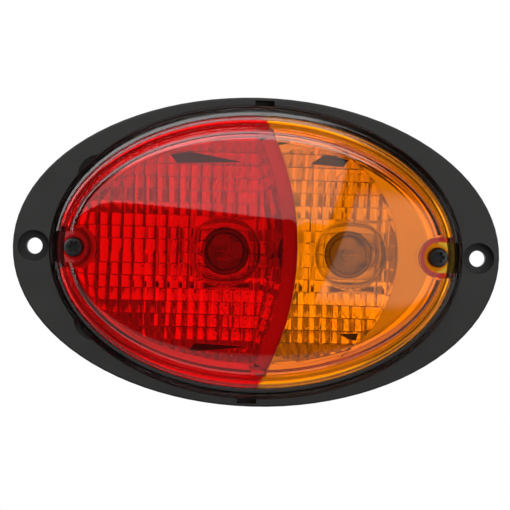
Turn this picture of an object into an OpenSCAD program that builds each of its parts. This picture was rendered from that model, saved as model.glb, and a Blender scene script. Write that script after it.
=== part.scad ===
/* [Flange] */
// Overall length of the oval flange
flange_length = 170; // [160:1:190]
// Overall height of the oval flange
flange_height = 108; // [104:1:120]
// Depth of the flange, from its mounting face to its front face
flange_depth = 8; // [7.5:0.25:10]
// Width of the bevel along the flange's front edge
flange_bevel = 0.8; // [0.4:0.1:1.2]
// Wall of the moulded housing
housing_wall = 2.5; // [2:0.25:3]

/* [Mounting holes] */
// Width of the bare flange between its end and the lens
end_margin = 12.9; // [12.5:0.1:16]
// Width of the bare flange between its top edge and the lens
side_margin = 2.9; // [2.6:0.1:5]
// Bore of each mounting hole
mount_hole_d = 5.7; // [4.5:0.1:6.5]
// Distance from the lens's edge to the centre of each hole
hole_offset = 5.6; // [5.6:0.1:6]
// Counterbore for the screw's head
counterbore_d = 11; // [9:0.1:11]
// Depth of the counterbore
counterbore_depth = 3.5; // [2.5:0.25:4.5]

/* [Lens] */
// Height of the lens's foot flange above the flange's front face
ledge_stand = 0.6; // [0.3:0.1:1.2]
// Wall of the lens
lens_wall = 2.4; // [2:0.1:2.8]
// Rise of the stepped wall above the foot flange
step_rise = 3.4; // [2.8:0.1:4]
// Rise of the steep shoulder that carries the dome
shoulder_rise = 3.1; // [2.5:0.1:3.8]
// Rise of the dome above its shoulder
dome_rise = 9.3; // [8:0.1:12]
// Radius of the arc along which red meets amber
joint_r = 95; // [85:1:110]
// Where that arc crosses the long axis
joint_x = 14.2; // [12.5:0.1:15]
// Width of the thicker band that the red half has along that arc
band_width = 5.2; // [4:0.1:6]
// How much thicker that band is than the lens's wall
band_rise = 3; // [2:0.1:4]
// Clearance between the lens and its recess
lens_gap = 0.2; // [0.1:0.05:0.3]

/* [Lens screws] */
// Distance from the lens's edge to the centre of each lens screw
screw_inset = 8.6; // [8.3:0.1:9]
// Head of the lens screw
screw_head_d = 7; // [6.5:0.1:8]
// Height of the screw's head
screw_head_h = 2.6; // [2:0.1:3]
// Shank of the lens screw
screw_d = 3.9; // [3.5:0.1:4.2]
// Length of the lens screw under its head
screw_length = 16; // [12:1:18]
// Radius of the well that the screw stands in
well_r = 5.4; // [5.2:0.05:6.2]
// Wall of the well
well_wall = 1.5; // [1.2:0.1:1.8]

/* [Reflector] */
// Depth of the reflector's dish below its rim
dish_depth = 21.5; // [18:0.5:23]
// Height of one row of facets
row_pitch = 4.4; // [4:0.1:6]
// Width of one flute
flute_pitch = 3.9; // [3:0.1:5]
// Height of a flute's crown
flute_crown = 0.35; // [0.2:0.05:0.6]
// Tilt that each row has past the dish's own slope
row_kick = 4; // [2:0.5:6]
// Wall of the reflector
reflector_wall = 1.6; // [1.4:0.1:2]
// Wall of the channel round the reflector
channel_wall = 1.2; // [1:0.1:1.3]
// Thickness of the ears that the lens screws pass through
ear_h = 1.5; // [1.2:0.1:2]
// Opening for a bulb
bulb_opening_d = 17.6; // [17.4:0.1:20]
// Radius of the crescent panel's edge
crescent_r = 42.6; // [40:0.1:45]
// Where that edge crosses the long axis
crescent_x = 49.2; // [48:0.1:51]

/* [Bulbs] */
// Place of the stop and tail bulb along the long axis
tail_x = -11; // [-14:0.5:-9]
// Place of the indicator bulb along the long axis
indicator_x = 33; // [31:0.5:34]
// Diameter of a bulb's glass
glass_d = 25; // [24:0.5:26.5]
// Diameter of a bulb's cap
cap_d = 15; // [14.5:0.1:15.2]
// Length of a bulb, from its contacts to its tip
bulb_length = 50; // [49:0.5:51]
// Clear space between a bulb's tip and the dome
bulb_clearance = 5; // [4:0.5:6]

/* [Cable inlet] */
// Bore of the grommet
cable_d = 6; // [5:0.5:7]
// Hole for the grommet in the back wall
grommet_hole_d = 10; // [9.5:0.5:11]

/* [Hidden] */
$fn = 64;
oval_steps = 96;
lens_steps = 64;
skin = 0.01;

// Section of the front, measured inwards from the lens's edge on the short axis
lens_a = flange_length / 2 - end_margin;
lens_b = flange_height / 2 - side_margin;
rim_side = 8.9;
rim_end = 6.8;
foot_inner = 3.4;
tongue_from = 1;
tongue_to = 2.6;
tongue_depth = 2;
land_from = 6.1;
land_to = 7.85;
dome_from = 10.5;
lens_front = flange_depth + ledge_stand;
recess_z = lens_front - lens_wall;
seal_h = 1.2;
groove_z = recess_z - tongue_depth - seal_h;
gasket_h = 1.8;
land_z = lens_front + step_rise;
shoulder_z = land_z + shoulder_rise;
dome_z = shoulder_z + dome_rise;
edge_share = 0.057;
edge_power = 31;
dome_a = lens_a - dome_from * rim_end / rim_side;
dome_b = lens_b - dome_from;

// Lens wells
screw_x = lens_a - screw_inset;
well_floor_z = lens_front - 0.2;
well_seat_z = recess_z + 0.3;
well_web = 0.8;
well_tab_r = 4.3;
well_end = 1.3;
screw_hole_d = screw_d + 0.5;

// Mounting holes
mount_x = lens_a + hole_offset;
mount_boss_r = counterbore_d / 2 + housing_wall;
pocket_depth = flange_depth - housing_wall;

// Housing
cup_from = 6.3;
bulb_span = indicator_x - tail_x;
rear_r = 21;
slot_w = 6.7;
slot_z = recess_z - 2.5;
notch_r = 7;
notch_x = 16.3 - lens_a;
notch_y = lens_b - 25.8;
screw_boss_r = 4.5;
pilot_d = screw_d - 0.7;

// Reflector
panel_a = lens_a - rim_end;
panel_b = lens_b - rim_side;
ledge_b = panel_b - 2.9;
ledge_z = recess_z + 1.3;
dish_z = ledge_z - dish_depth;
rim_flange_from = 4.9;
gap_from = land_to + 0.05;
cup_gap = 1.9;
cup_depth = reflector_wall + cup_gap + housing_wall - dish_z;
channel_z = recess_z - 5;
ear_z = well_seat_z - ear_h;
ear_foot_z = dish_z + dish_depth / 2 + 2;
ear_margin = 1;
crescent_cx = crescent_x - crescent_r;
crescent_z = flange_depth + 0.2;
crescent_rib = 1.7;
rib_reach = 15;
joint_cx = joint_x - joint_r;
divider_top = 5;
divider_draft_red = 6.5;
divider_draft_amber = 1.9;
divider_drop = lens_wall + band_rise + 0.4;
red_sweep = panel_a + tail_x;
red_sweep_right = 80;
amber_sweep = 60;

// Bulbs and sockets, in heights from the mounting face
tip_z = dome_z - lens_wall - bulb_clearance;
contact_z = tip_z - bulb_length;
cap_length = 18.5;
pin_height = 10.4;
light_centre = 31.8;
glass_z = contact_z + cap_length;
pin_z = contact_z + pin_height;
filament_z = pin_z + light_centre;
stem_reach = 16;
glass_t = 0.6;
bulb_cap_t = 0.3;
sleeve_t = 0.55;
sleeve_gap = 0.1;
sleeve_r = cap_d / 2 + sleeve_gap + sleeve_t;
sleeve_top = pin_z + 5.6;
disc_h = 2;
spring_h = 3.5;
base_h = 1.5;
disc_z = contact_z - disc_h;
base_z = disc_z - spring_h - base_h;
floor_z = base_z - 2;
back_z = floor_z - housing_wall;
bracket_rise = 3;
bracket_z = contact_z + bracket_rise;
bracket_t = 1;
bracket_screw_gap = 14;
bracket_margin = 3.2;
tab_w = 6.3;
tab_reach = 7;
tab_h = 8;
tab_t = 0.8;
plate_screw_head_d = 5.4;
plate_screw_head_h = 2;
plate_screw_d = 2.2;
plate_screw_length = 7;
cross_w = 3.2;
cross_t = 0.8;
grommet_sleeve = 6;
grommet_lip = 1.8;
grommet_lip_h = 2;
post_r = 3.2;
grommet_y = -11;
middle_x = (tail_x + indicator_x) / 2;

// An ellipse's points
function oval(a, b) = [for (i = [0 : oval_steps - 1])
    [a * cos(360 * i / oval_steps), b * sin(360 * i / oval_steps)]];
// Half lengths of the oval that lies s inside the lens's edge
function rim_a(s) = lens_a - s * rim_end / rim_side;
function rim_b(s) = lens_b - s;
// Height of the dome's outside at a share of the way from its centre to its edge
function dome_height(share) = shoulder_z
    + dome_rise * (1 - (1 - edge_share) * pow(share, 2) - edge_share * pow(share, edge_power));

// Turns a shape that is drawn looking at the lens, with z towards the viewer, upright
module facing_front() {
    rotate([90, 0, 0]) children();
}

module rim_oval(s) {
    polygon(oval(rim_a(s), rim_b(s)));
}

module slab(from, to) {
    translate([0, 0, from]) linear_extrude(to - from) children();
}

module at_both_ends(x) {
    for (side = [0, 180]) {
        rotate(side) translate([x, 0]) children();
    }
}

// Outline of a screw well, round towards the centre and open towards the lens's edge
module well_outline(r, reach) {
    circle(r);
    translate([0, -r]) square([reach, 2 * r]);
}

module wells(r, s) {
    intersection() {
        at_both_ends(screw_x) well_outline(r, 2 * well_r);
        rim_oval(s);
    }
}

module rear_outline(r) {
    for (x = [tail_x, indicator_x]) {
        translate([x, 0]) circle(r);
    }
    translate([tail_x, -r]) square([bulb_span, 2 * r]);
}

module mounting_places() {
    at_both_ends(mount_x) children();
}

module flange_blank() {
    bevel_steps = 2;
    slab(0, flange_depth - flange_bevel) polygon(oval(flange_length / 2, flange_height / 2));
    for (i = [1 : bevel_steps]) {
        inset = flange_bevel * (i - 0.5) / bevel_steps;
        slab(0, flange_depth - flange_bevel + i * flange_bevel / bevel_steps)
            polygon(oval(flange_length / 2 - inset, flange_height / 2 - inset));
    }
}

module back_pockets() {
    slab(-skin, pocket_depth) difference() {
        polygon(oval(flange_length / 2 - housing_wall, flange_height / 2 - housing_wall));
        square([2 * (mount_x - counterbore_d / 2 - housing_wall / 2), flange_height], center = true);
        rim_oval(-lens_gap - housing_wall / 2);
        mounting_places() circle(mount_boss_r);
    }
}

module vent_slots() {
    for (side = [0, 180]) {
        rotate(side) translate([side == 0 ? 1.6 : 1.8, lens_b - 0.2])
            translate([-slot_w / 2, 0]) slab(slot_z, flange_depth + 1) square([slot_w, 2]);
    }
}

// Outline of the lens's recess, with two round bays at its edge
module recess_outline() {
    rim_oval(-lens_gap);
    for (side = [-1, 1]) {
        translate([notch_x, side * notch_y]) circle(notch_r);
    }
}

// Black moulded housing: oval flange, cup for the reflector and a deeper well for the sockets
module base_housing() {
    color("#2b2a29") facing_front() difference() {
        union() {
            difference() {
                union() {
                    flange_blank();
                    slab(-cup_depth, skin) rim_oval(cup_from - housing_wall);
                    slab(back_z, -cup_depth + skin) rear_outline(rear_r);
                }
                slab(recess_z, flange_depth + 1) recess_outline();
                slab(groove_z, recess_z + skin) difference() {
                    rim_oval(tongue_from - lens_gap);
                    rim_oval(tongue_to + lens_gap);
                }
                slab(-cup_depth + housing_wall, recess_z + skin) rim_oval(cup_from);
                slab(floor_z, -cup_depth + housing_wall + skin) rear_outline(rear_r - housing_wall);
                slab(-skin, gasket_h) difference() {
                    rim_oval(0.3);
                    rim_oval(cup_from - housing_wall);
                }
                back_pockets();
                vent_slots();
            }
            at_both_ends(screw_x) slab(-cup_depth + skin, ear_z) circle(screw_boss_r);
            translate([middle_x, 0]) at_both_ends(bracket_screw_gap / 2)
                slab(floor_z - skin, bracket_z) circle(post_r);
        }
        mounting_places() {
            slab(-1, flange_depth + 1) circle(d = mount_hole_d);
            slab(flange_depth - counterbore_depth, flange_depth + 1) circle(d = counterbore_d);
        }
        at_both_ends(screw_x)
            slab(ear_z - screw_length, ear_z + 1) circle(d = pilot_d);
        translate([middle_x, 0]) at_both_ends(bracket_screw_gap / 2)
            slab(bracket_z - 8, bracket_z + 1) circle(d = plate_screw_d);
        translate([middle_x, grommet_y]) slab(back_z - 1, floor_z + 1) circle(d = grommet_hole_d);
    }
}

// Foam ring between the flange and the panel that the lamp is fixed to
module mounting_gasket() {
    color("#1c1c1e") facing_front() slab(0, gasket_h) difference() {
        rim_oval(0.3 + lens_gap);
        rim_oval(cup_from - housing_wall - lens_gap);
    }
}

// Rubber ring under the lens's tongue
module lens_seal() {
    color("#26262a") facing_front() slab(groove_z, groove_z + seal_h) difference() {
        rim_oval(tongue_from - lens_gap / 2);
        rim_oval(tongue_to + lens_gap / 2);
    }
}

// The lens's outside, from its foot up, as [distance inside the lens's edge, height]
rim_section = [[0, lens_front - 0.4], [0.4, lens_front], [1.9, lens_front + 0.02],
    [3.2, lens_front + 0.13 * step_rise], [3.8, lens_front + 0.32 * step_rise],
    [4.4, lens_front + 0.72 * step_rise], [5, lens_front + 0.92 * step_rise],
    [land_from, land_z], [land_to, land_z + 0.05], [8.2, land_z + 0.16 * shoulder_rise]];
dome_shares = [1, 0.93, 0.82, 0.68, 0.52, 0.35, 0.17];
outside = concat(
    [for (p = rim_section) [rim_a(p[0]), rim_b(p[0]), p[1]]],
    [for (share = dome_shares) [share * dome_a, share * dome_b, dome_height(share)]]);

// The same list moved into the wall, square to the surface
function inward(rings, t, from) = [for (i = [from : len(rings) - 2])
    let (
        step_b = rings[i - 1][1] - rings[i + 1][1],
        step_a = rings[i - 1][0] - rings[i + 1][0],
        rise = rings[i + 1][2] - rings[i - 1][2],
        slope_b = atan2(rise, step_b),
        slope_a = atan2(rise, step_a)
    )
    [rings[i][0] - t * sin(slope_a), rings[i][1] - t * sin(slope_b), rings[i][2] - t * cos(slope_b)]];

inside = concat([[rim_a(foot_inner), rim_b(foot_inner), recess_z - 1],
    [rim_a(foot_inner), rim_b(foot_inner), recess_z]], inward(outside, lens_wall, 7));
// A closed solid through a list of ovals, closed below by a point or a flat face and above by a point
module oval_stack(rings, low, high) {
    n = lens_steps;
    count = len(rings);
    last = (count - 1) * n;
    points = concat([for (r = rings) for (i = [0 : n - 1])
        [r[0] * cos(360 * i / n), r[1] * sin(360 * i / n), r[2]]], [[0, 0, low], [0, 0, high]]);
    sides = [for (k = [0 : count - 2]) for (i = [0 : n - 1])
        let (j = (i + 1) % n, a = k * n, b = (k + 1) * n) each [[a + i, b + i, b + j], [a + i, b + j, a + j]]];
    bottom = [for (i = [0 : n - 1]) [i, (i + 1) % n, count * n]];
    crown = [for (i = [0 : n - 1]) [last + i, count * n + 1, last + (i + 1) % n]];
    polyhedron(points, concat(sides, bottom, crown));
}

module lens_outside() {
    oval_stack(concat([[lens_a, lens_b, recess_z]], outside), recess_z, dome_z);
}

module lens_cavity() {
    oval_stack(inside, recess_z - 1, dome_z - lens_wall);
}

module lens_tongue() {
    slab(recess_z - tongue_depth, recess_z + skin) difference() {
        rim_oval(tongue_from);
        rim_oval(tongue_to);
    }
}

module red_side() {
    slab(0, dome_z + 1) translate([joint_cx, 0]) circle(joint_r, $fn = 180);
}

// Thicker band along the joint: all that lies above the cavity moved down
module joint_band() {
    difference() {
        slab(land_z - lens_wall, dome_z) translate([joint_cx, 0]) difference() {
            circle(joint_r + 1, $fn = 180);
            circle(joint_r - band_width, $fn = 180);
        }
        translate([0, 0, -band_rise]) lens_cavity();
    }
}

// Hollow of the lens with the wall of one screw well left standing
module lens_hollow(side) {
    difference() {
        lens_cavity();
        rotate(side) slab(well_seat_z, dome_z) translate([screw_x, 0])
            well_outline(well_r + well_wall, 2 * well_r);
    }
}

// Hollow of a well: a flat tab round the screw and a lower floor beyond it
module well_hollow(side) {
    slab(well_floor_z, dome_z) intersection() {
        rotate(side) translate([screw_x, 0]) well_outline(well_r, 2 * well_r);
        rim_oval(well_end);
    }
    slab(well_seat_z + well_web, dome_z) difference() {
        intersection() {
            rotate(side) translate([screw_x, -well_r]) square([2 * well_r, 2 * well_r]);
            rim_oval(well_end);
        }
        rotate(side) translate([screw_x, 0]) circle(well_tab_r);
    }
}

module lens_screw_hole(side) {
    rotate(side) translate([screw_x, 0]) slab(well_seat_z - 1, dome_z) circle(d = screw_hole_d);
}

module lens_solid() {
    lens_outside();
    lens_tongue();
}

// Two-shot moulded lens: foot flange with a tongue, stepped wall, shoulder, dome and screw wells.
// Each half keeps its own size and is one smooth shell, and its screw hole is cut after it.
module lens_red() {
    color("#d0101a") facing_front() difference() {
        resize([0, 0, 0]) difference() {
            intersection() {
                lens_solid();
                red_side();
            }
            difference() {
                lens_hollow(180);
                joint_band();
            }
            well_hollow(180);
        }
        lens_screw_hole(180);
    }
}

module lens_amber() {
    color("#f58a00") facing_front() difference() {
        resize([0, 0, 0]) difference() {
            lens_solid();
            red_side();
            lens_hollow(0);
            well_hollow(0);
        }
        lens_screw_hole(0);
    }
}

// Height of the dish above its lowest point along the long axis
function red_rise(x) = dish_depth
    * pow((x - tail_x) / (x < tail_x ? red_sweep : red_sweep_right), 2);
function amber_rise(x) = dish_depth * pow((x - indicator_x) / amber_sweep, 2);
function row_rise(y) = dish_depth * pow(y / ledge_b, 2);
function flute(x) = flute_crown * (1 - pow(2 * (x / flute_pitch - floor(x / flute_pitch)) - 1, 2));

// One row of flutes: its section across the lamp, drawn out along its own tilt
module flute_row(y, section) {
    tilt = atan((row_rise(y + row_pitch) - row_rise(y)) / row_pitch) - row_kick;
    run = row_pitch / cos(tilt) + 0.6;
    translate([0, y, dish_z + row_rise(y) + 0.2]) rotate([tilt, 0, 0]) rotate([90, 0, 0])
        translate([0, 0, -run]) linear_extrude(run) polygon(section);
}

module flute_rows(section) {
    rows = ceil(ledge_b / row_pitch);
    for (k = [-rows : rows - 1]) {
        flute_row((k + 0.5) * row_pitch - row_pitch / 2, section);
    }
}

// A dish's section: fluted above, plain below
function dish_section(from, to, rises) = let (fine = flute_pitch / 4, n = ceil((to - from) / fine))
    concat(
        [for (i = [0 : n]) let (x = from + i * fine) [x, rises[i] + flute(x)]],
        [for (i = [0 : 4 : n]) let (k = n - i, x = from + k * fine) [x, rises[k] - reflector_wall]]);

module red_rows() {
    from = -panel_a - 2;
    to = joint_x + 2;
    fine = flute_pitch / 4;
    rises = [for (i = [0 : ceil((to - from) / fine)]) red_rise(from + i * fine)];
    flute_rows(dish_section(from, to, rises));
}

module amber_rows() {
    from = joint_x - 15;
    to = crescent_x + 2;
    fine = flute_pitch / 4;
    rises = [for (i = [0 : ceil((to - from) / fine)]) amber_rise(from + i * fine)];
    flute_rows(dish_section(from, to, rises));
}

module dish_outline(growth) {
    polygon(oval(panel_a + growth, ledge_b + growth));
}

module divider() {
    reach = 33;
    foot = dish_z - reflector_wall;
    head = dome_z - divider_drop;
    intersection() {
        translate([joint_cx, 0, 0]) rotate(-reach) rotate_extrude(angle = 2 * reach, $fn = 180)
            polygon([[joint_r - divider_top - divider_draft_red, foot],
                [joint_r + divider_draft_amber, foot],
                [joint_r + 0.1, head], [joint_r - divider_top, head]]);
        slab(foot - 1, head + 1) dish_outline(1);
        rotate([90, 0, 90]) slab(joint_cx, joint_x + 2 * divider_draft_amber) polygon(concat(
            [for (y = [-dome_b : 2 : dome_b])
                [y, dome_height(norm([y / dome_b, joint_x / dome_a])) - divider_drop]],
            [[dome_b, foot - 1], [-dome_b, foot - 1]]));
    }
}

module rim_ring(from, to) {
    difference() {
        rim_oval(from);
        rim_oval(to);
    }
}

// Ears under the lens's screw tabs, each on a skirt, and a collar where the crescent meets one
module ears() {
    ear_r = well_r + well_wall + ear_margin;
    slab(ear_z, well_seat_z) wells(ear_r, cup_from + lens_gap);
    slab(ear_foot_z, well_seat_z) difference() {
        wells(ear_r, gap_from);
        wells(ear_r - channel_wall, 0);
    }
    slab(ear_z, crescent_z) intersection() {
        translate([screw_x, 0]) difference() {
            well_outline(ear_r, 2 * well_r);
            well_outline(ear_r - channel_wall, 4 * well_r);
        }
        rim_oval(gap_from);
    }
}

module crescent_outline(r) {
    translate([crescent_cx, 0]) circle(r, $fn = 120);
}

// Metallised insert: two fluted dishes, the wall between them, rim and grained crescent
module reflector() {
    color("#c9ccd0") facing_front() difference() {
        union() {
            intersection() {
                red_rows();
                slab(dish_z - 8, ledge_z) intersection() {
                    dish_outline(0.6);
                    translate([joint_cx, 0]) circle(joint_r - divider_top, $fn = 180);
                }
            }
            intersection() {
                amber_rows();
                slab(dish_z - 8, ledge_z) difference() {
                    intersection() {
                        dish_outline(0.6);
                        crescent_outline(crescent_r + 0.6);
                    }
                    translate([joint_cx, 0]) circle(joint_r - 0.5, $fn = 180);
                }
            }
            divider();
            slab(ledge_z - reflector_wall, ledge_z) difference() {
                polygon(oval(panel_a, panel_b));
                dish_outline(0);
            }
            slab(channel_z, ledge_z) rim_ring(rim_side, rim_side + channel_wall);
            slab(channel_z, channel_z + channel_wall)
                rim_ring(gap_from - channel_wall, rim_side + channel_wall);
            slab(channel_z, ledge_z) rim_ring(gap_from - channel_wall, gap_from);
            slab(recess_z, ledge_z) rim_ring(rim_flange_from, gap_from);
            slab(dish_z, crescent_z) intersection() {
                difference() {
                    crescent_outline(crescent_r + crescent_rib);
                    crescent_outline(crescent_r);
                }
                polygon(oval(panel_a, panel_b));
                translate([crescent_x - rib_reach, -panel_b]) square([panel_a, 2 * panel_b]);
            }
            ears();
            slab(crescent_z - reflector_wall, crescent_z) difference() {
                polygon(oval(panel_a, panel_b));
                crescent_outline(crescent_r);
                translate([-2 * panel_a + crescent_cx, -panel_b])
                    square([2 * panel_a, 2 * panel_b]);
            }
        }
        for (x = [tail_x, indicator_x]) {
            translate([x, 0]) slab(dish_z - 10, dish_z + 4) circle(d = bulb_opening_d);
        }
        slab(well_seat_z, dome_z) wells(well_r + well_wall + lens_gap, 0);
        slab(recess_z, dome_z) difference() {
            wells(well_r + well_wall + lens_gap, 0);
            rim_oval(cup_from + lens_gap);
        }
        at_both_ends(screw_x) {
            slab(dish_z - 10, ear_z) circle(screw_boss_r + lens_gap);
            slab(ear_z - 1, well_seat_z + 1) circle(d = screw_hole_d);
        }
    }
}

module star(r, depth) {
    polygon([for (a = [0 : 10 : 350]) (r - depth / 2 + depth / 2 * cos(6 * a)) * [cos(a), sin(a)]]);
}

// Pan-head screw, standing on the plane under its head, with its children cut out of it
module pan_screw(head_d, head_h, shank_d, length) {
    difference() {
        union() {
            rotate_extrude() polygon(concat([[0, 0], [head_d / 2, 0]],
                [for (a = [0 : 15 : 90]) [head_d / 2 - head_h * 0.42 * (1 - cos(a)),
                    head_h * 0.5 + head_h * 0.42 * sin(a)]], [[0, head_h]]));
            slab(-length, skin) circle(d = shank_d);
        }
        slab(head_h * 0.4, head_h + 1) union() children();
    }
}

// Pan-head screws that hold the lens down
module lens_screws() {
    color("#1a1a1a") facing_front() at_both_ends(screw_x) translate([0, 0, well_floor_z])
        pan_screw(screw_head_d, screw_head_h, pilot_d, screw_length - 2)
            star(screw_head_d * 0.32, screw_head_d * 0.1);
}

// Plated steel plate that carries both sockets and is their common earth
module socket_bracket() {
    color("#b9bcc0") facing_front() translate([0, 0, bracket_z]) difference() {
        union() {
            linear_extrude(bracket_t) rear_outline(sleeve_r + bracket_margin);
            translate([middle_x - tab_w / 2, sleeve_r]) linear_extrude(bracket_t) square([tab_w, tab_reach]);
            translate([middle_x - tab_w / 2, sleeve_r + tab_reach - tab_t]) cube([tab_w, tab_t, tab_h]);
        }
        for (x = [tail_x, indicator_x]) {
            translate([x, 0, -1]) cylinder(r = sleeve_r, h = bracket_t + 2);
        }
        translate([middle_x, 0]) at_both_ends(bracket_screw_gap / 2)
            slab(-1, bracket_t + 1) circle(d = 3);
    }
}

module bracket_screws() {
    color("#c8cbd0") facing_front() translate([middle_x, 0, bracket_z + bracket_t])
        at_both_ends(bracket_screw_gap / 2)
            pan_screw(plate_screw_head_d, plate_screw_head_h, plate_screw_d, plate_screw_length) {
                square([cross_w, cross_t], center = true);
                square([cross_t, cross_w], center = true);
            }
}

// Rubber grommet that the cable passes through
module cable_grommet() {
    color("#202022") facing_front() translate([middle_x, grommet_y, back_z]) rotate_extrude()
        polygon([[cable_d / 2, -grommet_sleeve], [cable_d / 2 + 1.4, -grommet_sleeve],
            [grommet_hole_d / 2 + grommet_lip, -grommet_lip_h],
            [grommet_hole_d / 2 + grommet_lip, 0], [grommet_hole_d / 2, 0],
            [grommet_hole_d / 2, housing_wall], [grommet_hole_d / 2 + 1.2, housing_wall],
            [grommet_hole_d / 2 + 1.2, housing_wall + 1.6], [cable_d / 2, housing_wall + 1.6]]);
}

module place_bulb(x) {
    facing_front() translate([x, 0, 0]) children();
}

// Pressed steel sleeve with two bayonet slots
module socket(x) {
    color("#c3c6ca") place_bulb(x) difference() {
        slab(base_z, sleeve_top) difference() {
            circle(sleeve_r);
            circle(sleeve_r - sleeve_t);
        }
        for (side = [0, 180]) {
            rotate(side) translate([sleeve_r - 2, -1.25, pin_z - 1.25]) cube([4, 2.5, 10]);
            rotate(side) translate([sleeve_r - 2, -1.25, pin_z - 1.25]) cube([4, 4.5, 2.5]);
        }
    }
}

module socket_base(x, holes) {
    color("#7a4a2a") place_bulb(x) slab(base_z, base_z + base_h) difference() {
        circle(sleeve_r - sleeve_t);
        for (h = holes) {
            translate([h, 0]) circle(d = 2);
        }
    }
}

// Coil that presses the contact disc against the bulb
module contact_spring(x) {
    turns = 3;
    wire_r = 0.35;
    coil_r = sleeve_r - sleeve_t - 1.2;
    per_turn = 24;
    sides = 8;
    rise = spring_h - 2 * wire_r;
    rings = turns * per_turn;
    points = [for (k = [0 : rings]) for (s = [0 : sides - 1])
        let (turn = 360 * k / per_turn, r = coil_r + wire_r * cos(360 * s / sides))
        [r * cos(turn), r * sin(turn), wire_r * sin(360 * s / sides) + rise * k / rings]];
    tube = [for (k = [0 : rings - 1]) for (s = [0 : sides - 1])
        let (next = (s + 1) % sides, low = k * sides, high = (k + 1) * sides)
        [low + s, low + next, high + next, high + s]];
    ends = [[for (s = [0 : sides - 1]) sides - 1 - s], [for (s = [0 : sides - 1]) rings * sides + s]];
    color("#d0d2d6") place_bulb(x) translate([0, 0, base_z + base_h + wire_r])
        polyhedron(points, concat(tube, ends));
}

module contact_disc(x, places) {
    color("#5a3a22") place_bulb(x) slab(disc_z, disc_z + disc_h - 0.2) difference() {
        circle(cap_d / 2 - 0.2);
        for (p = places) {
            translate([p, 0]) circle(d = 2);
        }
    }
}

module contact_studs(x, places) {
    color("#c9a14a") place_bulb(x) for (p = places) {
        translate([p, 0, 0]) {
            slab(disc_z - 0.5, contact_z - 0.2) circle(d = 1.9);
            slab(contact_z - 0.2, contact_z) circle(d = 3);
        }
    }
}

// Black glass that closes the cap, with the soldered contacts
module bulb_insulator(x, places) {
    color("#15151a") place_bulb(x) {
        difference() {
            slab(contact_z + 0.8, contact_z + 3) circle(cap_d / 2 - 0.35);
        }
        for (p = places) {
            translate([p, 0, 0]) slab(contact_z, contact_z + 0.8 + skin) circle(d = 3.2);
        }
    }
}

// Brass cap with two locating pins
module bulb_cap(x) {
    wall = bulb_cap_t;
    color("#cbb26a") place_bulb(x) {
        difference() {
            slab(contact_z + 1.2, glass_z) circle(d = cap_d);
            slab(contact_z + 1, glass_z + 1) circle(cap_d / 2 - wall);
        }
        for (side = [0, 180]) {
            rotate(side) translate([cap_d / 2 - wall, 0, pin_z]) rotate([0, 90, 0])
                cylinder(d = 2, h = wall + 1.2);
        }
    }
}

// Blown glass envelope, cemented into the cap
module bulb_glass(x) {
    r = glass_d / 2;
    neck_r = cap_d / 2 - bulb_cap_t - 0.05;
    ball_z = tip_z - r;
    blend = asin(neck_r / r);
    function profile(w) = concat(
        [[neck_r - w, glass_z - 8], [neck_r - w, ball_z - (r * cos(blend)) * 0.98 - 1.5]],
        [for (a = [180 - blend - 6 : -8 : 6]) [(r - w) * sin(a), ball_z + (r - w) * cos(a)]],
        [[0, ball_z + r - w]]);
    color("#e8eef2", 0.4) place_bulb(x) difference() {
        rotate_extrude() polygon(concat(profile(0), [[0, glass_z - 8]]));
        rotate_extrude() polygon(concat(profile(glass_t), [[0, glass_z - 9]]));
    }
}

// Glass stem, support wires and filament coils
module bulb_filament(x, coils) {
    stem_r = 2.4;
    stem_top = filament_z - stem_reach;
    wire_d = 0.5;
    lead = 3.2;
    color("#b8bcc4") place_bulb(x) {
        slab(glass_z - 8, stem_top) circle(stem_r);
        slab(glass_z - 8, glass_z - 6.5) circle(cap_d / 2 - bulb_cap_t - 0.05 - glass_t);
        for (c = coils) {
            translate([0, c[0], 0]) {
                for (side = [-1, 1]) {
                    reach = c[1] + stem_reach + 1;
                    translate([side * lead * 0.5, -c[0] * 0.6, stem_top - 1])
                        rotate([-atan(c[0] * 0.6 / reach), side * atan(lead * 0.5 / reach), 0])
                        cylinder(d = wire_d, h = reach, $fn = 16);
                }
                translate([-lead, 0, filament_z + c[1]]) rotate([0, 90, 0])
                    cylinder(d = 0.9, h = 2 * lead, $fn = 16);
            }
        }
    }
}

tail_contacts = [-3.5, 3.5];
indicator_contacts = [0];

base_housing();
mounting_gasket();
lens_seal();
lens_red();
lens_amber();
reflector();
lens_screws();
socket_bracket();
bracket_screws();
cable_grommet();
socket(tail_x);  // tail_socket
socket_base(tail_x, tail_contacts);  // tail_socket_base
contact_spring(tail_x);  // tail_contact_spring
contact_disc(tail_x, tail_contacts);  // tail_contact_disc
contact_studs(tail_x, tail_contacts);  // tail_contact_studs
bulb_insulator(tail_x, tail_contacts);  // tail_bulb_insulator
bulb_cap(tail_x);  // tail_bulb_cap
bulb_glass(tail_x);  // tail_bulb_glass
bulb_filament(tail_x, [[0, 0], [-2.6, 2.4]]);  // tail_bulb_filaments
socket(indicator_x);  // indicator_socket
socket_base(indicator_x, indicator_contacts);  // indicator_socket_base
contact_spring(indicator_x);  // indicator_contact_spring
contact_disc(indicator_x, indicator_contacts);  // indicator_contact_disc
contact_studs(indicator_x, indicator_contacts);  // indicator_contact_stud
bulb_insulator(indicator_x, indicator_contacts);  // indicator_bulb_insulator
bulb_cap(indicator_x);  // indicator_bulb_cap
bulb_glass(indicator_x);  // indicator_bulb_glass
bulb_filament(indicator_x, [[0, 0]]);  // indicator_bulb_filament
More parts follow.
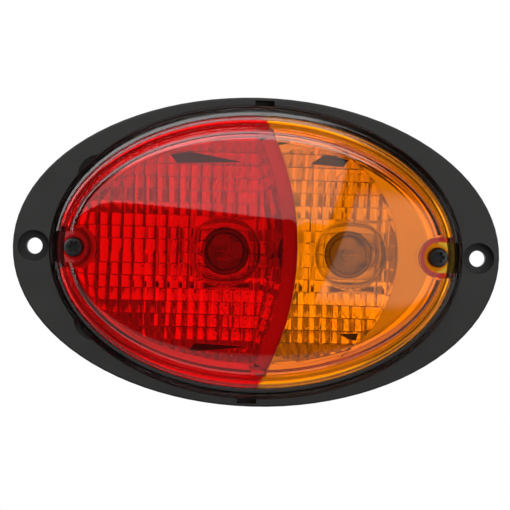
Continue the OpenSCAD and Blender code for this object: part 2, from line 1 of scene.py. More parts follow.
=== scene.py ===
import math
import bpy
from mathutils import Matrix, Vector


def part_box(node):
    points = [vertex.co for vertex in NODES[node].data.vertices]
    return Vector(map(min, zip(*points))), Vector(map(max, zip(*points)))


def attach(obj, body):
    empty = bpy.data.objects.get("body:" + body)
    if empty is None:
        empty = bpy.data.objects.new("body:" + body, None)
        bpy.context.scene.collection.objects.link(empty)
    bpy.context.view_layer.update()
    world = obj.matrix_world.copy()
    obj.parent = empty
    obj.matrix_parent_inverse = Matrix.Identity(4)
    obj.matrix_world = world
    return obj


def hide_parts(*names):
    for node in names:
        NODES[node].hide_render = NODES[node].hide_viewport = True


bl_info = {
    "name": "Oval Tail Light Cluster",
    "version": (1, 0, 0),
    "blender": (4, 5, 0),
    "location": "View3D > Sidebar > Tail Light",
    "description": "Dresses an oval red and amber tail light cluster and lights it",
    "category": "Object",
}

import bpy
from mathutils import Vector

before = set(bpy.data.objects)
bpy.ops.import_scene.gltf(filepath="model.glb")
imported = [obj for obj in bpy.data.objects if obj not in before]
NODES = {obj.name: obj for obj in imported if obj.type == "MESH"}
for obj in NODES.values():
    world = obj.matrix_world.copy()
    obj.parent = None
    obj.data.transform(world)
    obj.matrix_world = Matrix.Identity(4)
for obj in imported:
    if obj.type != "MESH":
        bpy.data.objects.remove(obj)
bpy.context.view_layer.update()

MM = 0.001

# Lengths are in millimetres, and heights run from the mounting face towards the viewer.
# The lens: half lengths of its edge, the rim's width at its sides and ends, and its heights
FLANGE_DEPTH = 8.0
LENS_A = 72.1
LENS_B = 51.1
RIM_SIDE = 8.9
RIM_END = 6.8
LENS_WALL = 2.4
LENS_FRONT = 8.6
RECESS_Z = LENS_FRONT - LENS_WALL
STEP_RISE = 3.4
LAND_Z = LENS_FRONT + STEP_RISE
SHOULDER_RISE = 3.1
SHOULDER_Z = LAND_Z + SHOULDER_RISE
DOME_Z = -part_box("lens_red")[0].y / MM
DOME_RISE = DOME_Z - SHOULDER_Z
DOME_FROM = 10.5
DOME_A = LENS_A - DOME_FROM * RIM_END / RIM_SIDE
DOME_B = LENS_B - DOME_FROM
# How far from its middle the dome's ovals lie, as shares of its half lengths
DOME_SHARES = (0.985, 0.965, 0.94, 0.91, 0.87, 0.82, 0.76, 0.69, 0.61, 0.52, 0.42, 0.31, 0.2,
               0.1, 0.04)
TONGUE = (1.0, 2.6)
TONGUE_DEPTH = 2

# The arc where red meets amber, and the red half's thicker band along it
JOINT_R = 95.0
JOINT_X = 14.2
JOINT_CX = JOINT_X - JOINT_R
BAND_WIDTH = 5.2
BAND_RISE = 3.0

# The two screw wells of the lens, and the ears of the insert under them
SCREW_X = 63.5
SCREW_HOLE_R = 2.2
TAB_R = 4.3
WELL_R = 5.4
WELL_WALL = 1.5
WELL_REACH = 12
WELL_EDGE = 1.3
LENS_GAP = 0.2
WELL_SEAT_Z = RECESS_Z + 0.3
WELL_FLOOR_Z = LENS_FRONT - 0.2
EAR_Z = WELL_SEAT_Z - 1.5
EAR_R = WELL_R + WELL_WALL + 1
BOSS_R = 4.5

# The bulbs
TAIL_X = -11.0
INDICATOR_X = 33.0
BULB_OPENING_R = 8.8
GLASS_R = 12.5
GLASS_NECK_R = 7.15
GLASS_WALL = 0.35
GLASS_FROM = 10.5
BULB_LENGTH = 50.0
BULB_CLEARANCE = 5.0

# The insert: its ledge, its dishes and their rows, its channel and its crescent panel
PANEL_A = LENS_A - RIM_END
PANEL_B = LENS_B - RIM_SIDE
LEDGE_B = PANEL_B - 2.9
LEDGE_Z = RECESS_Z + 1.3
DISH_DEPTH = 21.5
DISH_Z = LEDGE_Z - DISH_DEPTH
ROW_PITCH = 4.4
ROW_TURN = 10.7
ROWS_FROM = -0.6
# Where a row and a flute have their lines, as shares of their width. Each flute's crown and lean
# drift from their means by a number that three constants make irregular.
ROW_SHARES = (0, 0.2, 0.4, 0.6, 0.8, 0.94)
FLUTE_SHARES = (0, 0.14, 0.28, 0.42, 0.56, 0.7, 0.84, 0.95)
FLUTE_MIDDLE = 0.475
CROWN_DRIFT = 0.35
LEAN_DRIFT = 0.18
DRIFT_TURNS = (12.9898, 78.233, 43758.5453)
# These rows are plain this close to a bulb's middle, and beyond it their flutes fade in
PLAIN_ROWS = range(-3, 3)
PLAIN_HALF = 9.4
PLAIN_FADE = 0.8
REFLECTOR_WALL = 1.6
CHANNEL_WALL = 1.2
CHANNEL_Z = RECESS_Z - 5
CUP_FROM = 6.3
GAP_FROM = 7.9
EAR_FOOT_Z = DISH_Z + DISH_DEPTH / 2 + 2
CRESCENT_X = 49.2
CRESCENT_R = 42.6
CRESCENT_CX = CRESCENT_X - CRESCENT_R
CRESCENT_RIB = 1.7
CRESCENT_Z = 8.2
CRESCENT_DROP = 0.3
RIB_REACH = 15
DIVIDER_TOP = 5.0
DIVIDER_DRAFT_RED = 6.5
DIVIDER_DRAFT_AMBER = 1.9
DIVIDER_DROP = LENS_WALL + BAND_RISE + 0.4
DIVIDER_STEP = 0.25
DIVIDER_STEPS = 132
RED_SWEEP = PANEL_A + TAIL_X
RED_SWEEP_RIGHT = 80
AMBER_SWEEP = 60
# Outlines of the thin dark wedges in the dishes
WEDGES = (((-31.3, 33.7), (-28.4, 30.3), (-5.5, 31.3), (-23.5, 34.3)),
          ((-22.6, -34.8), (-19.4, -35.1), (-1.8, -33.1), (-20.5, -32.3)),
          ((18.2, 31.3), (29.8, 30.6), (31.8, 33.8), (23.0, 34.6)),
          ((30.1, -27.8), (33.4, -29.5), (36.0, -30.0), (36.8, -27.5)))

# How finely round shapes are made, and how far cutting tools reach past what they cut
OVAL_STEPS = 288
CIRCLE_STEPS = 96
WELL_STEPS = 48
BULB_STEPS = 128
JOINT_STEPS = 720
CRESCENT_STEPS = 480
CUT_LOW = -41
CUT_FRONT = 30
CUT_HIGH = 40

# The insert's finishes, by their number on its mesh
MIRROR, MATT, SATIN = range(3)

# Rounded edges and drift of the materials; the drift's scale is in patches per metre
EDGE_RADIUS = 0.2 * MM
LENS_EDGE_RADIUS = 0.15 * MM
EDGE_SAMPLES = 4
DRIFT_SCALE = 90.0
TONE_DRIFT = 0.12
ROUGHNESS_DRIFT = 0.05
PLASTIC_IOR = 1.5
ACRYLIC_IOR = 1.49

# The camera: what one pixel of the picture covers on the flange, and how far off its middle is
PIXEL = 0.349 * MM
PICTURE_PIXELS = 510
CAMERA_OFFSET = (-0.86, -2.82)
CAMERA_SENSOR = 36
CAMERA_DISTANCE = 0.770
CAMERA_ROLL = 1.703

# The lamp at the left: its bearing, height, and width and height as seen, in degrees
LEFT_STRIP = (-72, 2, 6, 50)
LEFT_STRIP_LEVEL = 4
LAMP_DISTANCE = 1.2

# Panels of light in the room, each as the place of its middle and its edges. A place is a bearing
# and a height seen from the lens, and an edge is two places on it and its softness, in degrees.
RIGHT_FRAME = (((15, -20), (60, -20), 7), ((15, 24), (60, 27), 9), ((66, -10), (66, 20), 4))
TOP_BOX = ((-15, 45), (((-21.5, 18.9), (13.7, 12.8), 0.7), ((13.7, 12.8), (19.7, 36.6), 0.9),
                       ((-56, 20), (-56, 60), 3), ((-40, 76), (10, 76), 3)))
RIGHT_BOX = ((35, 3), (((14.9, -3.6), (22.6, 37), 1.0),) + RIGHT_FRAME)
OVERHEAD = ((-5, 80), (((-60, 44), (50, 44), 4), ((-60, 101), (50, 101), 3),
                       ((46, 0), (46, 80), 9)))
TABLE = ((0, -70), (((-30, -41), (30, -41), 4),))
# The same room as light meets it that has come out through the lens
INNER_TOP = ((-15, 45), (((-42, 20), (-42, 60), 5), ((-42, 56), (20, 56), 5),
                         ((-42, 14), (20, 14), 3), ((20, 14), (20, 60), 3)))
INNER_RIGHT = ((35, 3), (((9, -3.6), (14, 37), 2),) + RIGHT_FRAME)
INNER_FLOOR = ((0, -35), (((-26, -10), (-26, -60), 5), ((24, -10), (24, -60), 5),
                          ((-30, -9), (30, -9), 4)))
# The dark ring round straight in front, by the y part of a direction: its outer edge lies between
# 17.5 and 16.5 degrees, and its inner edge between 10.5 and 11.5 degrees
RING_OUTSIDE = (-0.9537, -0.9588)
RING_INSIDE = (-0.9833, -0.9799)
# The core inside it grows brighter upwards between these z parts of a direction
CORE_HEIGHTS = (-0.16, 0.06)
CORE_SHARES = (0.55, 1.1)
# Towards the back the room turns white between these y parts of a direction
WHITE_FROM = (-0.1, 0.15)

# Each finish of a carried-over piece: name, colour, roughness, grain and its depth in
# millimetres, how metallic it is, and its pieces. Grains under 0.35 mm, which is one pixel of the
# front view, only soften the shine there and show in close views.
FINISHES = (
    # Closed skin with cut cells at the edge: matt and slightly pitted
    ("EPDM foam, die cut", "#1D1D1F", 0.9, 0.5, 0.12, 0.0, ("mounting_gasket",)),
    # A dull, even black from the mould
    ("EPDM rubber, moulded", "#232325", 0.6, 0.25, 0.02, 0.0, ("cable_grommet",)),
    # Half dull. Its grey is painted light: the black seal is drawn lighter to stand in for light
    # seen under the lens's foot, so that the lens's edge shows a soft line over it
    ("Seal rubber, lightened as painted light", "#5A5655", 0.5, 0.25, 0.02, 0.0, ("lens_seal",)),
    # Nearly black, with small sharp lights on its edges
    ("Steel, black zinc plated", "#3A3A3B", 0.28, 0.2, 0.01, 0.4, ("lens_screws",)),
    # Pale blue-grey and bright, with a fine frosting from the bath
    ("Steel, zinc plated and pressed", "#C2C5C9", 0.3, 0.15, 0.008, 1.0,
     ("socket_bracket", "bracket_screws", "tail_socket", "indicator_socket",
      "tail_contact_spring", "indicator_contact_spring")),
    # Brown and dry, with the layers' faint mottling
    ("Phenolic board, punched", "#5E3A22", 0.6, 0.4, 0.02, 0.0,
     ("tail_socket_base", "indicator_socket_base", "tail_contact_disc", "indicator_contact_disc")),
    # Warm yellow with soft tool marks
    ("Brass, turned", "#C9A14A", 0.32, 0.2, 0.006, 1.0,
     ("tail_contact_studs", "indicator_contact_stud")),
    # Paler and smoother than turned brass, as thin sheet from a die is
    ("Brass, drawn", "#CDB777", 0.28, 0.3, 0.006, 1.0, ("tail_bulb_cap", "indicator_bulb_cap")),
    # Glossy and black, with a slightly wavy surface
    ("Black cap glass, moulded", "#15151A", 0.12, 0.6, 0.01, 0.0,
     ("tail_bulb_insulator", "indicator_bulb_insulator")),
    # Dull grey wire with die lines too fine to see
    ("Tungsten and nickel wire, drawn", "#8A8C92", 0.35, 0.1, 0.004, 1.0,
     ("tail_bulb_filaments", "indicator_bulb_filament")),
)


def linear(hex_colour):
    """Turns an sRGB hex colour into the linear values that Blender works in."""
    values = [int(hex_colour[i : i + 2], 16) / 255 for i in (1, 3, 5)]
    return tuple(v / 12.92 if v <= 0.04045 else ((v + 0.055) / 1.055) ** 2.4
                 for v in values) + (1.0,)


class LampColours(bpy.types.PropertyGroup):
    red: bpy.props.FloatVectorProperty(
        name="Red lens",
        description="What is left of white light after 2.4 mm of the red acrylic",
        subtype="COLOR", size=4, min=0, max=1, default=(0.83, 0.027, 0.03, 1.0))
    amber: bpy.props.FloatVectorProperty(
        name="Amber lens",
        description="What is left of white light after 2.4 mm of the amber acrylic",
        subtype="COLOR", size=4, min=0, max=1, default=(0.97, 0.47, 0.012, 1.0))
    housing: bpy.props.FloatVectorProperty(
        name="Housing", description="Colour of the black moulded housing",
        subtype="COLOR", size=4, min=0, max=1, default=linear("#262524"))


class LampSizes(bpy.types.PropertyGroup):
    flute_pitch: bpy.props.FloatProperty(
        name="Flute width", description="Width of one flute of the reflector, in millimetres",
        min=3, max=5, default=3.9)
    flute_crown: bpy.props.FloatProperty(
        name="Flute crown", description="Height of a flute's crown, in millimetres",
        min=0.1, max=0.6, default=0.36)
    joint_gap: bpy.props.FloatProperty(
        name="Joint line", description="Width of the line between red and amber, in millimetres",
        min=0.01, max=0.1, default=0.04)


class StudioLight(bpy.types.PropertyGroup):
    box_level: bpy.props.FloatProperty(
        name="Softbox level", description="Brightness of the large softboxes, where 1 is white",
        min=0, max=4, default=1.5)
    strip_level: bpy.props.FloatProperty(
        name="Strip level", description="Brightness of the narrow light straight above the lamp",
        min=0, max=10, default=5.0)
    table_level: bpy.props.FloatProperty(
        name="Table level", description="Brightness of the pale table under the lamp",
        min=0, max=2, default=0.6)
    room_level: bpy.props.FloatProperty(
        name="Room level", description="Brightness of the dim room in front of the lamp",
        min=0, max=1, default=0.05)
    inner_level: bpy.props.FloatProperty(
        name="Inner level",
        description="Brightness of the room as it lights the inside through the lens",
        min=0, max=2, default=0.37)
    core_level: bpy.props.FloatProperty(
        name="Core level",
        description="Brightness straight in front, as it lights the inside through the lens",
        min=0, max=2, default=0.9)


def at(x, y, z):
    """Turns a point drawn looking at the lens, z towards the viewer, into the lamp's frame."""
    return (x * MM, -z * MM, y * MM)


def new_object(name, verts, faces):
    """Makes an object from a mesh drawn looking at the lens, in millimetres."""
    mesh = bpy.data.meshes.new(name)
    mesh.from_pydata([at(*v) for v in verts], [], faces)
    mesh.validate()
    obj = bpy.data.objects.new(name, mesh)
    bpy.context.scene.collection.objects.link(obj)
    return obj


def select_only(obj):
    """Deselects everything else, because operators act on all that is selected."""
    bpy.ops.object.select_all(action="DESELECT")
    obj.select_set(True)
    bpy.context.view_layer.objects.active = obj


def combine(obj, tool, operation):
    """Adds, cuts or intersects a closed solid, and removes the tool."""
    select_only(obj)
    mod = obj.modifiers.new("combine", "BOOLEAN")
    mod.operation = operation
    mod.solver = "MANIFOLD"
    mod.object = tool
    bpy.ops.object.modifier_apply(modifier=mod.name)
    bpy.data.objects.remove(tool)
    if not obj.data.polygons:
        raise RuntimeError(f"{obj.name} came out empty")
    return obj


def smooth(obj, angle):
    """Shades the edges smooth that turn by less than an angle."""
    select_only(obj)
    bpy.ops.object.shade_smooth_by_angle(angle=math.radians(angle))


def dress(obj, *materials):
    """Gives an object these materials and no others."""
    obj.data.materials.clear()
    for m in materials:
        obj.data.materials.append(m)


def turns(n):
    """Points of the unit circle."""
    return [(math.cos(2 * math.pi * i / n), math.sin(2 * math.pi * i / n)) for i in range(n)]


def bands(rows, count, n):
    """Faces from each of these rings of n points to the next, the last ring's being the first."""
    return [(k * n + i, k * n + (i + 1) % n,
             (k + 1) % count * n + (i + 1) % n, (k + 1) % count * n + i)
            for k in rows for i in range(n)]


def oval_loft(name, rings, low, high):
    """A closed solid through ovals of [half length, half height, height], ended by two points."""
    n, count = OVAL_STEPS, len(rings)
    verts = [(a * c, b * s, z) for a, b, z in rings for c, s in turns(n)]
    verts += [(0, 0, low), (0, 0, high)]
    foot, head, last = count * n, count * n + 1, (count - 1) * n
    faces = bands(range(count - 1), count, n)
    faces += [((i + 1) % n, i, foot) for i in range(n)]
    faces += [(last + i, last + (i + 1) % n, head) for i in range(n)]
    return new_object(name, verts, faces)


def hoop(name, rings):
    """A closed solid that runs round the lamp, through a closed section of ovals."""
    verts = [(a * c, b * s, z) for a, b, z in rings for c, s in turns(OVAL_STEPS)]
    return new_object(name, verts, bands(range(len(rings)), len(rings), OVAL_STEPS))


def prism(name, outline, low, high):
    """A closed solid on an outline that runs anticlockwise, between two heights."""
    n = len(outline)
    verts = [(x, y, low) for x, y in outline] + [(x, y, high) for x, y in outline]
    faces = [(i, (i + 1) % n, n + (i + 1) % n, n + i) for i in range(n)]
    faces += [tuple(reversed(range(n))), tuple(range(n, 2 * n))]
    return new_object(name, verts, faces)


def tube(name, outer, inner, low, high):
    """The solid between two outlines."""
    hole = prism("inside", inner, low - 1, high + 1)
    return combine(prism(name, outer, low, high), hole, "DIFFERENCE")


def arc(cx, cy, r, start, end, steps):
    """Points on an arc between two angles."""
    angles = [math.radians(start + (end - start) * i / steps) for i in range(steps + 1)]
    return [(cx + r * math.cos(angle), cy + r * math.sin(angle)) for angle in angles]


def circle(cx, cy, r, steps=CIRCLE_STEPS):
    """A circle's outline."""
    return arc(cx, cy, r, 0, 360, steps)[:-1]


def oval(a, b):
    """An oval's outline from its half lengths."""
    return [(a * c, b * s) for c, s in turns(OVAL_STEPS)]


def box_outline(x_from, x_to, half):
    """A rectangle's outline, centred on the long axis."""
    return [(x_from, -half), (x_to, -half), (x_to, half), (x_from, half)]


def well_outline(side, r, reach=WELL_REACH):
    """A screw well's outline, round towards the centre and open towards the lens's edge."""
    points = [(SCREW_X + reach, -r), (SCREW_X + reach, r)]
    points += arc(SCREW_X, 0, r, 90, 270, WELL_STEPS)
    return points if side > 0 else [(-x, -y) for x, y in points]


def joint_circle(growth):
    """The circle whose arc is the joint, made larger or smaller."""
    return circle(JOINT_CX, 0, JOINT_R + growth, JOINT_STEPS)


def crescent_circle(growth):
    """The circle whose arc is the crescent's edge, made larger."""
    return circle(CRESCENT_CX, 0, CRESCENT_R + growth, CRESCENT_STEPS)


def rim(s):
    """Half lengths of the oval that lies s inside the lens's edge on its sides."""
    return LENS_A - s * RIM_END / RIM_SIDE, LENS_B - s


def dome_rings(shares):
    """Ovals of the dome's outside at these shares of the way to its edge."""
    return [(share * DOME_A, share * DOME_B, dome_height(share)) for share in shares]


def dome_height(share):
    """Height of the dome's outside: nearly a parabola, and steeper close to its edge."""
    return SHOULDER_Z + DOME_RISE * (1 - 0.943 * share ** 2 - 0.057 * share ** 31)


def curve_through(points, steps):
    """A smooth curve through the points, which keeps to their order."""
    out = []
    for i in range(len(points) - 1):
        p0, p1, p2 = points[max(i - 1, 0)], points[i], points[i + 1]
        p3 = points[min(i + 2, len(points) - 1)]
        for k in range(steps):
            t = k / steps
            out.append(tuple(
                0.5 * (2 * b + (c - a) * t + (2 * a - 5 * b + 4 * c - d) * t * t
                       + (3 * b - a - 3 * c + d) * t ** 3)
                for a, b, c, d in zip(p0, p1, p2, p3)))
    out.append(points[-1])
    return out


def lens_rings():
    """The lens's outside as ovals: foot with two fine grooves, stepped wall, shoulder, dome."""
    foot = [(0, LENS_FRONT - 0.35), (0.08, LENS_FRONT - 0.15), (0.22, LENS_FRONT - 0.03),
            (0.42, LENS_FRONT)]
    for s in (0.55, 1.15):
        foot += [(s, LENS_FRONT), (s + 0.17, LENS_FRONT - 0.14), (s + 0.31, LENS_FRONT - 0.14),
                 (s + 0.48, LENS_FRONT)]
    wall = [(s, LENS_FRONT + share * STEP_RISE) for s, share in (
        (1.9, 0.003), (2.25, 0.03), (2.9, 0.165), (3.5, 0.3), (3.78, 0.44), (4.05, 0.64),
        (4.32, 0.81), (4.75, 0.9), (5.2, 0.975), (5.6, 0.992), (6.1, 0.998))]
    land = [(6.45, LAND_Z), (6.52, LAND_Z - 0.16), (6.72, LAND_Z - 0.16), (6.8, LAND_Z + 0.01),
            (7.6, LAND_Z + 0.03)]
    rings = [(*rim(s), z) for s, z in foot + curve_through(wall, 4) + land]
    shoulder = [(7.85, LAND_Z + 0.06), (8.1, LAND_Z + 0.16 * SHOULDER_RISE),
                (8.5, LAND_Z + 0.42 * SHOULDER_RISE), (9.0, LAND_Z + 0.66 * SHOULDER_RISE),
                (9.7, LAND_Z + 0.86 * SHOULDER_RISE)]
    dome = dome_rings((1,) + DOME_SHARES)
    rings += curve_through([(*rim(s), z) for s, z in shoulder] + dome[:3], 3)[:-1]
    return rings + dome[2:]


def moved_inward(rings, t, first):
    """The ovals from the first one on, moved into the wall square to the surface."""
    out = []
    for i in range(first, len(rings) - 1):
        (a0, b0, z0), (a1, b1, z1) = rings[i - 1], rings[i + 1]
        slope_a = math.atan2(z1 - z0, a0 - a1)
        slope_b = math.atan2(z1 - z0, b0 - b1)
        a, b, z = rings[i]
        out.append((a - t * math.sin(slope_a), b - t * math.sin(slope_b),
                    z - t * math.cos(slope_b)))
    return out


def inner_rings():
    """The lens's hollow as ovals, from the recess's floor to the dome's middle."""
    section = [(3.75, LAND_Z - 3.6), (4.3, LAND_Z - 2.6), (5.0, LAND_Z - 2.4),
               (8.3, LAND_Z - 2.35), (9.1, LAND_Z - 1.9), (9.9, LAND_Z - 1.1),
               (10.9, LAND_Z + 0.1)]
    wall = [(3.4, RECESS_Z - 1), (3.4, RECESS_Z)] + curve_through(section, 4)[:-1]
    dome = [(DOME_A * 1.03, DOME_B * 1.03, SHOULDER_Z - 0.6)] + dome_rings(DOME_SHARES)
    return [(*rim(s), z) for s, z in wall] + moved_inward(dome, LENS_WALL, 2)


def add(tree, kind, inputs=None, **settings):
    """Adds a node with its settings, and links or sets its inputs by their name or number."""
    made = tree.nodes.new("ShaderNode" + kind)
    for key, value in settings.items():
        if hasattr(made, key):
            setattr(made, key, value)
        else:
            made.inputs[key.replace("_", " ")].default_value = value
    for key, value in (inputs or {}).items():
        if isinstance(value, bpy.types.NodeSocket):
            tree.links.new(value, made.inputs[key])
        else:
            made.inputs[key].default_value = value
    return made


def blank(name):
    """A new material with nothing but its output node."""
    material = bpy.data.materials.new(name)
    material.use_nodes = True
    material.node_tree.nodes.clear()
    return material, material.node_tree, material.node_tree.nodes.new("ShaderNodeOutputMaterial")


def grain_normal(tree, place, grain_mm, depth_mm, strength, detail):
    """The normal of a surface with a grain of this size and depth, and slightly round edges."""
    grain = add(tree, "TexNoise", {"Vector": place.outputs["Object"]},
                Scale=1000 / grain_mm, Detail=detail)
    edge = add(tree, "Bevel", Radius=EDGE_RADIUS, samples=EDGE_SAMPLES)
    bump = add(tree, "Bump", {"Height": grain.outputs["Fac"], "Normal": edge.outputs["Normal"]},
               Strength=strength, Distance=depth_mm * MM)
    return bump.outputs["Normal"]


def grained(name, colour, roughness, grain_mm, depth_mm, metallic=0.0):
    """A moulded, cast or rolled surface: fine grain in its height, and a drift in its tone."""
    material, tree, out = blank(name)
    place = add(tree, "TexCoord")
    drift_noise = add(tree, "TexNoise", {"Vector": place.outputs["Object"]},
                      Scale=DRIFT_SCALE, Detail=4.0)
    dark = tuple(c * (1 - TONE_DRIFT) for c in colour[:3]) + (1,)
    light = tuple(min(c * (1 + TONE_DRIFT), 1) for c in colour[:3]) + (1,)
    tone = add(tree, "Mix", {0: drift_noise.outputs["Fac"], 6: dark, 7: light}, data_type="RGBA")
    rough = add(tree, "MapRange", {"Value": drift_noise.outputs["Fac"]},
                From_Min=0.3, From_Max=0.7, To_Min=max(roughness - ROUGHNESS_DRIFT, 0.02),
                To_Max=min(roughness + ROUGHNESS_DRIFT, 1))
    normal = grain_normal(tree, place, grain_mm, depth_mm, strength=0.5, detail=3.0)
    own_ior = {} if metallic else {"IOR": PLASTIC_IOR}
    shader = add(tree, "BsdfPrincipled",
                 {"Base Color": tone.outputs[2], "Roughness": rough.outputs["Result"],
                  "Normal": normal}, Metallic=metallic, **own_ior)
    tree.links.new(shader.outputs["BSDF"], out.inputs["Surface"])
    return material


def clear_plastic(name, left_after_wall):
    """Acrylic, moulded and polished: clear, glossy, and darker the further light runs in it."""
    material, tree, out = blank(name)
    per_metre = [-math.log(max(v, 0.001)) / (LENS_WALL * MM) for v in left_after_wall[:3]]
    density = max(per_metre) * 1.02
    edge = add(tree, "Bevel", Radius=LENS_EDGE_RADIUS, samples=EDGE_SAMPLES)
    shader = add(tree, "BsdfPrincipled", {"Normal": edge.outputs["Normal"]},
                 Base_Color=(1, 1, 1, 1), Roughness=0.0, IOR=ACRYLIC_IOR, Transmission_Weight=1.0)
    volume = add(tree, "VolumeAbsorption", Color=tuple(1 - v / density for v in per_metre) + (1,),
                 Density=density)
    tree.links.new(shader.outputs["BSDF"], out.inputs["Surface"])
    tree.links.new(volume.outputs["Volume"], out.inputs["Volume"])
    return material


def clear_glass(name):
    """Soda-lime glass, blown: clear and thin, with slow waves in its surface."""
    material, tree, out = blank(name)
    place = add(tree, "TexCoord")
    wave = add(tree, "TexNoise", {"Vector": place.outputs["Object"]}, Scale=120.0, Detail=1.0)
    bump = add(tree, "Bump", {"Height": wave.outputs["Fac"]}, Strength=0.05, Distance=0.2 * MM)
    shader = add(tree, "BsdfPrincipled", {"Normal": bump.outputs["Normal"]},
                 Base_Color=(0.98, 0.99, 0.99, 1), Roughness=0.0, IOR=1.5,
                 Transmission_Weight=1.0)
    tree.links.new(shader.outputs["BSDF"], out.inputs["Surface"])
    return material


def mirror_metal(name, hex_colour, roughness, grain_mm, depth_mm, metallic=1.0):
    """ABS with vacuum-deposited aluminium: a mirror with the grain of the mould under it."""
    material, tree, out = blank(name)
    place = add(tree, "TexCoord")
    normal = grain_normal(tree, place, grain_mm, depth_mm, strength=0.6, detail=4.0)
    shader = add(tree, "BsdfPrincipled", {"Normal": normal}, Base_Color=linear(hex_colour),
                 Metallic=metallic, Roughness=roughness)
    tree.links.new(shader.outputs["BSDF"], out.inputs["Surface"])
    return material


class LAMP_OT_camera(bpy.types.Operator):
    """Adds the camera, straight in front of the lamp and turned a little"""
    bl_idname = "lamp.camera"
    bl_label = "Camera"

    def execute(self, context):
        data = bpy.data.cameras.new("camera")
        camera = bpy.data.objects.new("camera", data)
        context.scene.collection.objects.link(camera)
        data.sensor_width = CAMERA_SENSOR
        data.lens = CAMERA_SENSOR * CAMERA_DISTANCE / (PICTURE_PIXELS * PIXEL)
        data.clip_start = 0.01
        across, up = CAMERA_OFFSET
        camera.location = (across * PIXEL, -CAMERA_DISTANCE - FLANGE_DEPTH * MM, up * PIXEL)
        camera.rotation_euler = (math.radians(90), math.radians(-CAMERA_ROLL), 0)
        context.scene.camera = camera
        return {"FINISHED"}


def split_colours(whole):
    """Cuts a solid along the arc where the colours meet, and returns its red and amber part."""
    gap = bpy.context.scene.lamp_sizes.joint_gap / 2
    amber = whole.copy()
    amber.data = whole.data.copy()
    bpy.context.scene.collection.objects.link(amber)
    combine(whole, prism("red_side", joint_circle(-gap), -2, CUT_FRONT), "INTERSECT")
    combine(amber, prism("red_side", joint_circle(gap), -2, CUT_FRONT), "DIFFERENCE")
    return whole, amber


def joint_band():
    """The red half's thicker band along the joint: all above its hollow moved down."""
    band = tube("band", joint_circle(1), joint_circle(-BAND_WIDTH), LAND_Z - LENS_WALL, DOME_Z)
    rings = [(a, b, z - BAND_RISE) for a, b, z in inner_rings()]
    lowered = oval_loft("lowered", rings, RECESS_Z - 1 - BAND_RISE,
                        DOME_Z - LENS_WALL - BAND_RISE)
    return combine(band, lowered, "DIFFERENCE")


def well_space(name, side, low, high):
    """The space of a screw well between two heights, inside the lens's edge."""
    space = prism(name, well_outline(side, WELL_R), low, high)
    return combine(space, prism("edge", oval(*rim(WELL_EDGE)), 0, DOME_Z + 2), "INTERSECT")


class LAMP_OT_lens(bpy.types.Operator):
    """Moulds the lens as one shell with its screw wells, and splits it into red and amber"""
    bl_idname = "lamp.lens"
    bl_label = "Lens"

    def execute(self, context):
        edge = [(LENS_A, LENS_B, RECESS_Z)]
        outside = oval_loft("lens_red_shell", edge + lens_rings(), RECESS_Z, DOME_Z)
        tongue = tube("tongue", *(oval(*rim(s)) for s in TONGUE),
                      RECESS_Z - TONGUE_DEPTH, RECESS_Z + 0.1)
        combine(outside, tongue, "UNION")
        red, amber = split_colours(outside)
        amber.name = "lens_amber_shell"
        for side, half in ((-1, red), (1, amber)):
            hollow = oval_loft("hollow", inner_rings(), RECESS_Z - 1, DOME_Z - LENS_WALL)
            wall = prism("well", well_outline(side, WELL_R + WELL_WALL), WELL_SEAT_Z, DOME_Z + 1)
            combine(hollow, wall, "DIFFERENCE")
            if half is red:
                combine(hollow, joint_band(), "DIFFERENCE")
            combine(half, hollow, "DIFFERENCE")
            combine(half, well_space("well", side, WELL_FLOOR_Z, DOME_Z + 1), "DIFFERENCE")
            # The floor is lower beyond the round tab under the screw's head
            low = well_space("low", side, WELL_SEAT_Z + 0.8, WELL_FLOOR_Z + 0.5)
            beyond = [(side * x, side * y)
                      for x, y in box_outline(SCREW_X, SCREW_X + WELL_REACH, 9)]
            combine(low, prism("half", beyond, 0, CUT_FRONT), "INTERSECT")
            tab = prism("tab", circle(side * SCREW_X, 0, TAB_R), 0, CUT_FRONT)
            combine(half, combine(low, tab, "DIFFERENCE"), "DIFFERENCE")
            hole = prism("hole", circle(side * SCREW_X, 0, SCREW_HOLE_R), 0, CUT_FRONT)
            combine(half, hole, "DIFFERENCE")
        colours = context.scene.lamp_colours
        dress(red, clear_plastic("Red acrylic, moulded and polished", colours.red))
        dress(amber, clear_plastic("Amber acrylic, moulded and polished", colours.amber))
        for obj, node, slot in ((red, "lens_red", "lens_red_pmma"),
                                (amber, "lens_amber", "lens_amber_pmma")):
            smooth(obj, 28)
            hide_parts(node)
            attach(obj, "root")
        return {"FINISHED"}


def drift(i, k):
    """A fixed irregular number from -1 to 1 for one facet, as tool marks give each its own set."""
    by_i, by_k, spread = DRIFT_TURNS
    value = math.sin(i * by_i + k * by_k) * spread
    return 2 * (value - math.floor(value)) - 1


def flute(share, i, k, crown):
    """Height across one flute, with that facet's own crown and lean."""
    own_crown = crown * (1 + CROWN_DRIFT * drift(i, k))
    return own_crown * (1 - (share / FLUTE_MIDDLE - 1) ** 2) \
        + LEAN_DRIFT * drift(k, i) * (share - 0.5)


def row_lines():
    """The dish's lines along the lamp as [y, height, row]: bowed rows, each turned further."""
    half = []
    for k in range(math.ceil(LEDGE_B / ROW_PITCH) + 1):
        inner, outer = (math.tan(math.radians(ROW_TURN * turn / 2)) for turn in (k, k - 1))
        middle = DISH_DEPTH * ((k + 0.5) * ROW_PITCH / LEDGE_B) ** 2
        for t in ROW_SHARES:
            bow = ROW_PITCH * (inner * (t - 0.5) + (outer - inner) * (t * t - 0.25) / 2)
            half.append(((k + t) * ROW_PITCH, DISH_Z + middle + bow + 0.1, k))
    below = [(ROWS_FROM - u, z, -k - 1) for u, z, k in reversed(half[1:])]
    return below + [(ROWS_FROM + u, z, k) for u, z, k in half]


